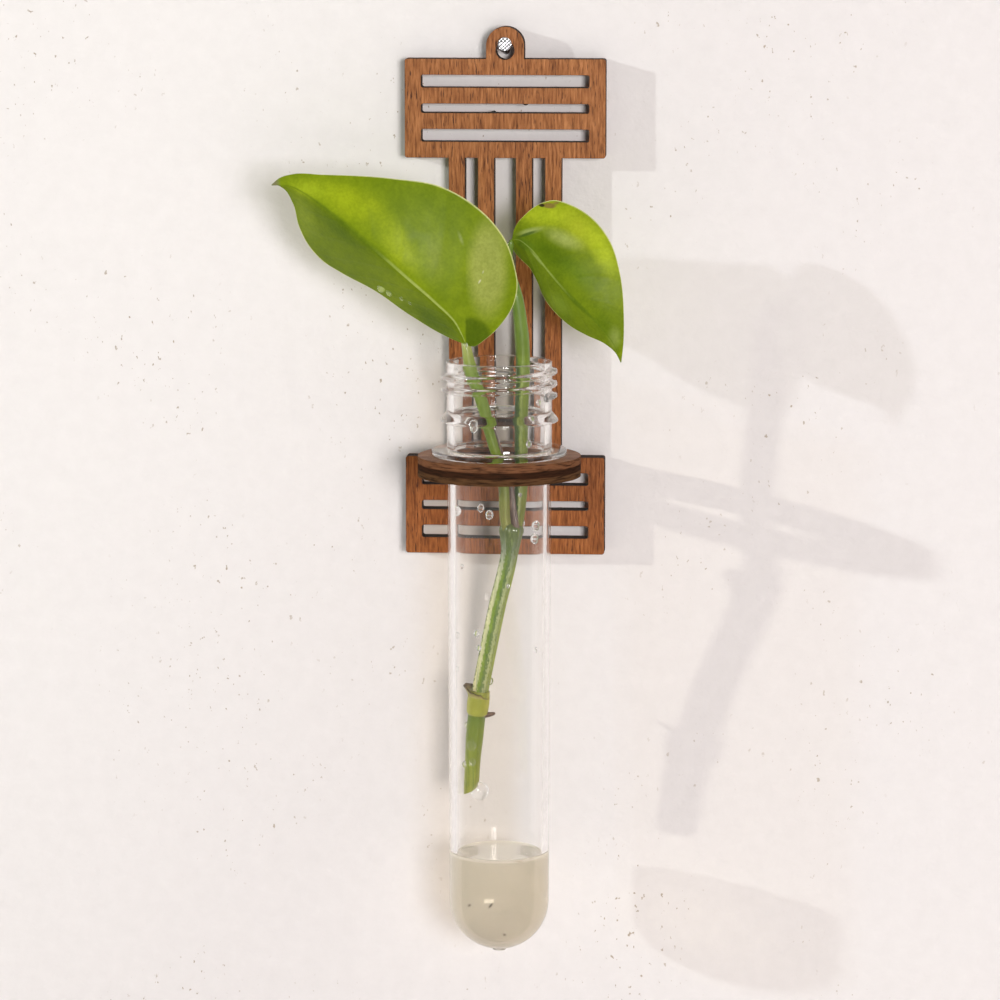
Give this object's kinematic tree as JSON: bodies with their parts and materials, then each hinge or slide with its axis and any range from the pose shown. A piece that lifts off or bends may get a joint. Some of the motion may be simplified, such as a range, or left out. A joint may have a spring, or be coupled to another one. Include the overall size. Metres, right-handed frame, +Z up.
{
  "type": "wall-hung propagation vase",
  "caption": "Clear round-bottomed tube with a threaded neck, held in a plywood ring on a fretted plywood wall plate, with water and a leafy cutting, hung on a nail.",
  "frame": {"origin": "where the axis of the hanging nail meets the wall plane", "axes": "+Z up, +Y into the wall, -Y is the front, +X to the right seen from the front"},
  "size_m": [0.0824, 0.0631, 0.2196],
  "materials": {
    "plywood": "thin oiled plywood with laser-charred edges",
    "clear_plastic": "clear glossy moulded plastic",
    "water": "slightly cloudy water",
    "stem": "glossy green stem",
    "leaf": "waxy green leaf",
    "dry_sheath": "dry papery brown",
    "zinc": "bright zinc"
  },
  "bodies": {
    "nail": {"wall_nail": "zinc"},
    "holder": {"back_plate": "plywood", "tube_ring": "plywood"},
    "tube": {"tube": "clear_plastic", "water": "water"},
    "cutting": {"stem_lower": "stem", "stem_upper": "stem", "leaf_scar_collar": "stem", "root_nub": "dry_sheath", "stem_sheath": "dry_sheath", "petiole_left": "stem", "petiole_right": "stem", "leaf_left": "leaf", "leaf_right": "leaf"}
  },
  "joints": [
    {"name": "plate_swing", "type": "hinge", "parent": "nail", "child": "holder", "pos_m": [0, -0.0048, 0.0013], "axis": [0, 1, 0], "range_deg": [-15, 15]},
    {"name": "tube_lift", "type": "slide", "parent": "holder", "child": "tube", "axis": [0, 0, 1], "range_m": [0, 0.125]},
    {"name": "cutting_lift", "type": "slide", "parent": "tube", "child": "cutting", "axis": [0, 0, 1], "range_m": [0, 0.11]}
  ]
}
